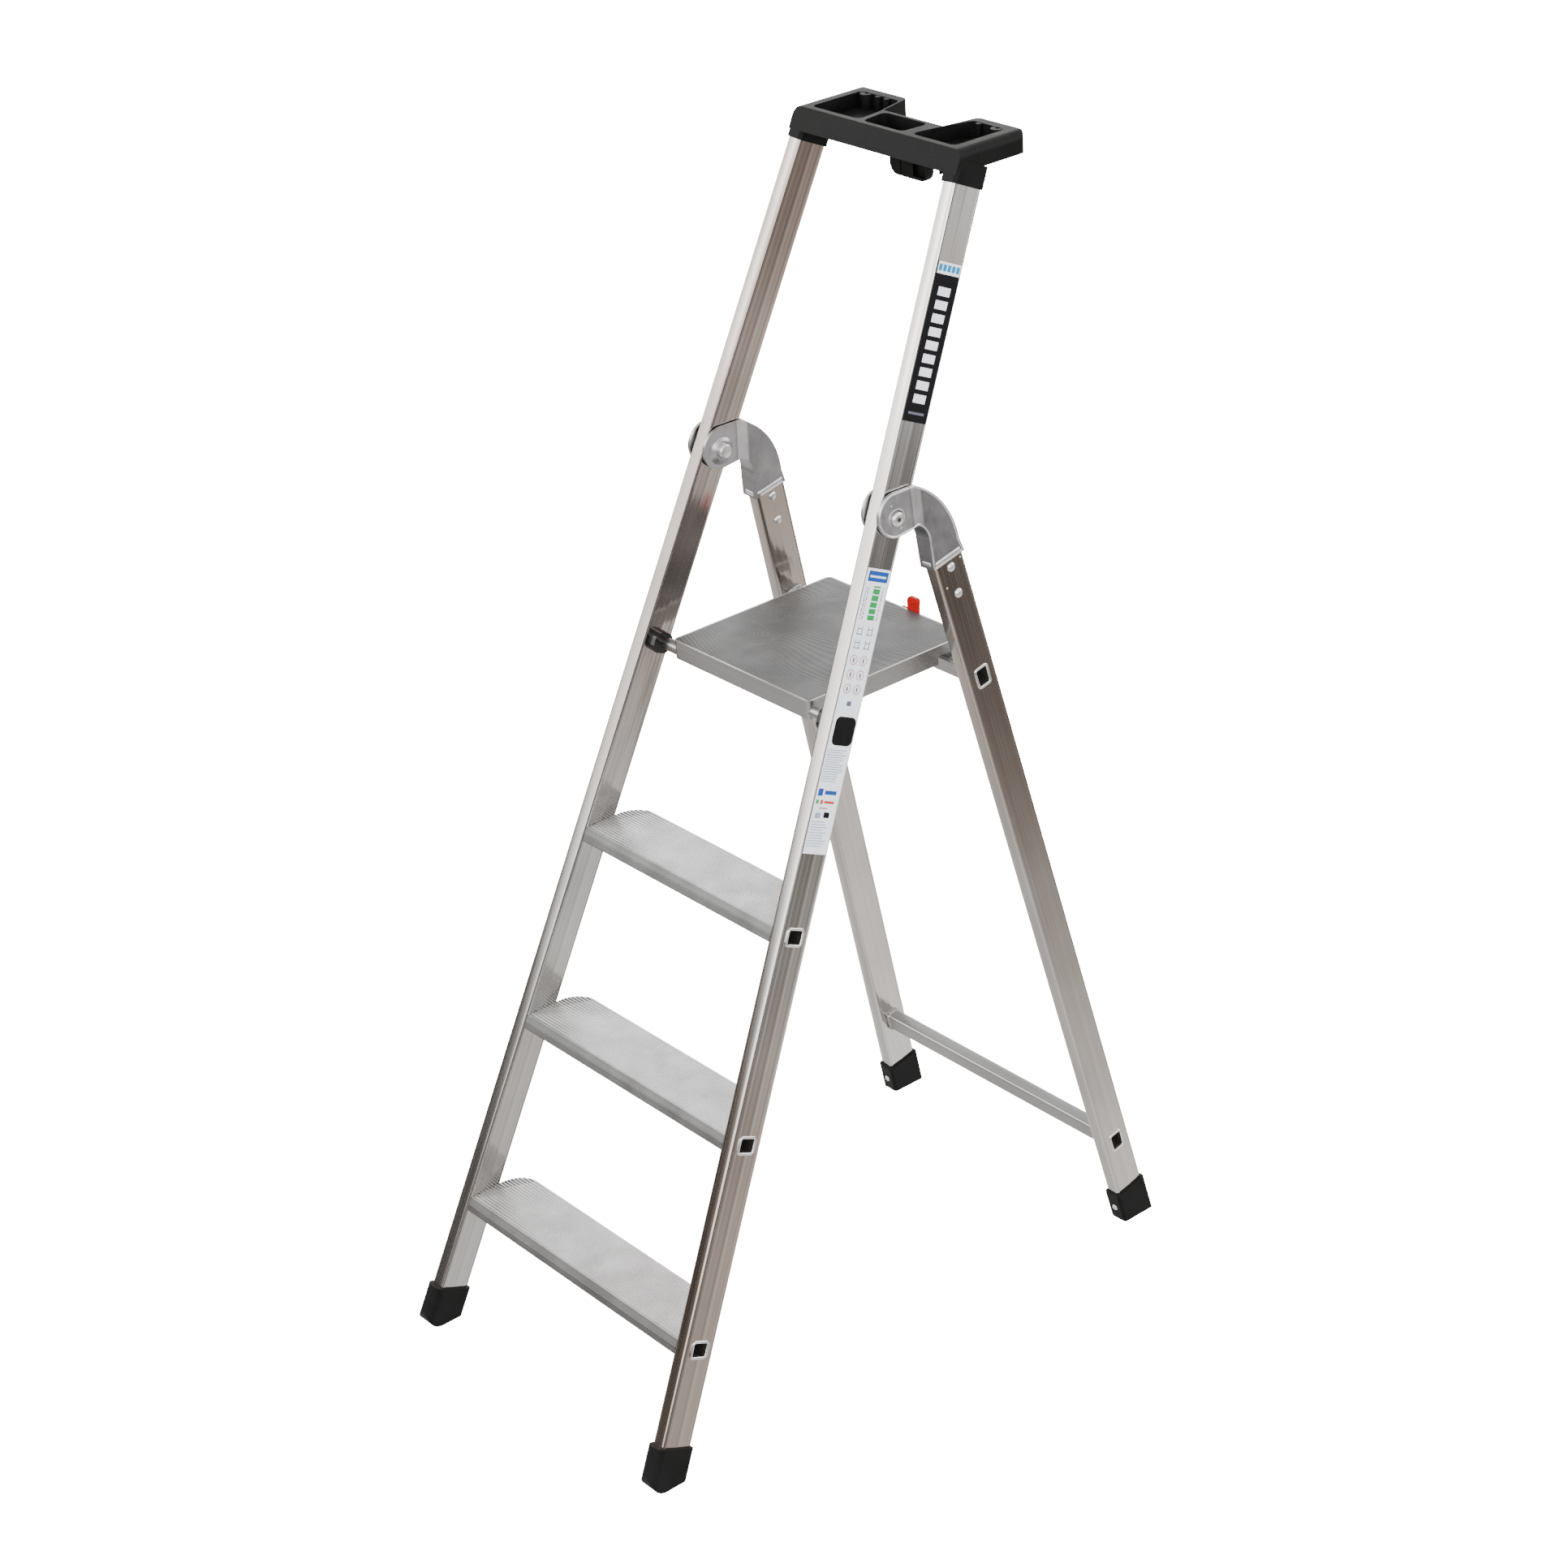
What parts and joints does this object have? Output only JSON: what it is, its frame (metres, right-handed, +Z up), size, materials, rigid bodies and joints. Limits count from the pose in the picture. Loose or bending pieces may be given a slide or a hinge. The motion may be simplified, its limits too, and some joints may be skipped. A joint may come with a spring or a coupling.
{
  "type": "platform step ladder",
  "caption": "Folding aluminium step ladder with ribbed treads, a hinged standing platform with a release latch, splayed stiles, a rear support frame and a tool tray on top.",
  "frame": {"origin": "centre of the footprint, on the floor", "axes": "+Z up; X across the ladder, +X at the climber's right hand; +Y from the climbing side to the rear frame"},
  "size_m": [0.5148, 0.892, 1.541],
  "materials": {
    "mill_aluminium": "drawn, satin",
    "tread_aluminium": "ribbed, satin",
    "deck_aluminium": "embossed, satin",
    "cast_aluminium": "cast, tumbled",
    "bright_steel": "zinc plated",
    "washer_nylon": "satin",
    "black_plastic": "fine texture",
    "gloss_black_plastic": "smooth",
    "foot_rubber": "satin",
    "red_plastic": "smooth",
    "white_label": "printed film",
    "dark_label": "printed film"
  },
  "bodies": {
    "front_frame": {"front_stile_left": "mill_aluminium", "front_stile_right": "mill_aluminium", "tread_1": "tread_aluminium", "tread_2": "tread_aluminium", "tread_3": "tread_aluminium", "hinge_bolt_left": "bright_steel", "hinge_nut_left": "bright_steel", "pivot_bush_left": "gloss_black_plastic", "pivot_plug_left": "black_plastic", "front_foot_left": "foot_rubber", "hinge_bolt_right": "bright_steel", "hinge_nut_right": "bright_steel", "pivot_bush_right": "gloss_black_plastic", "pivot_plug_right": "black_plastic", "front_foot_right": "foot_rubber", "hinge_washers": "washer_nylon", "top_tray": "black_plastic", "upper_label": "dark_label", "lower_label": "white_label"},
    "rear_frame": {"rear_stile_left": "mill_aluminium", "rear_stile_right": "mill_aluminium", "lower_crossbar": "mill_aluminium", "upper_crossbar": "mill_aluminium", "hinge_bracket_left": "cast_aluminium", "rear_foot_left": "foot_rubber", "hinge_bracket_right": "cast_aluminium", "rear_foot_right": "foot_rubber", "bracket_rivets": "bright_steel", "rear_foot_rivets": "bright_steel"},
    "platform": {"platform_deck": "deck_aluminium", "platform_pivot_tube": "mill_aluminium", "latch_pin": "bright_steel"},
    "latch": {"release_latch": "red_plastic"}
  },
  "joints": [
    {"name": "rear_frame_fold", "type": "hinge", "parent": "front_frame", "child": "rear_frame", "pos_m": [0, 0.10078, 1.1305], "axis": [-1, 0, 0], "range_deg": [0, 36.5]},
    {"name": "platform_fold", "type": "hinge", "parent": "front_frame", "child": "platform", "pos_m": [0, -0.0033, 0.8935], "axis": [1, 0, 0], "range_deg": [0, 65.6]},
    {"name": "latch_release", "type": "hinge", "parent": "platform", "child": "latch", "pos_m": [0.029, 0.2441, 0.897], "axis": [-1, 0, 0], "range_deg": [0, 12], "stiffness_Nm_per_rad": 0.2, "springref_deg": -5.73}
  ],
  "couplings": [
    {"joint": "platform_fold", "follows": "rear_frame_fold", "ratio": 1.795}
  ]
}
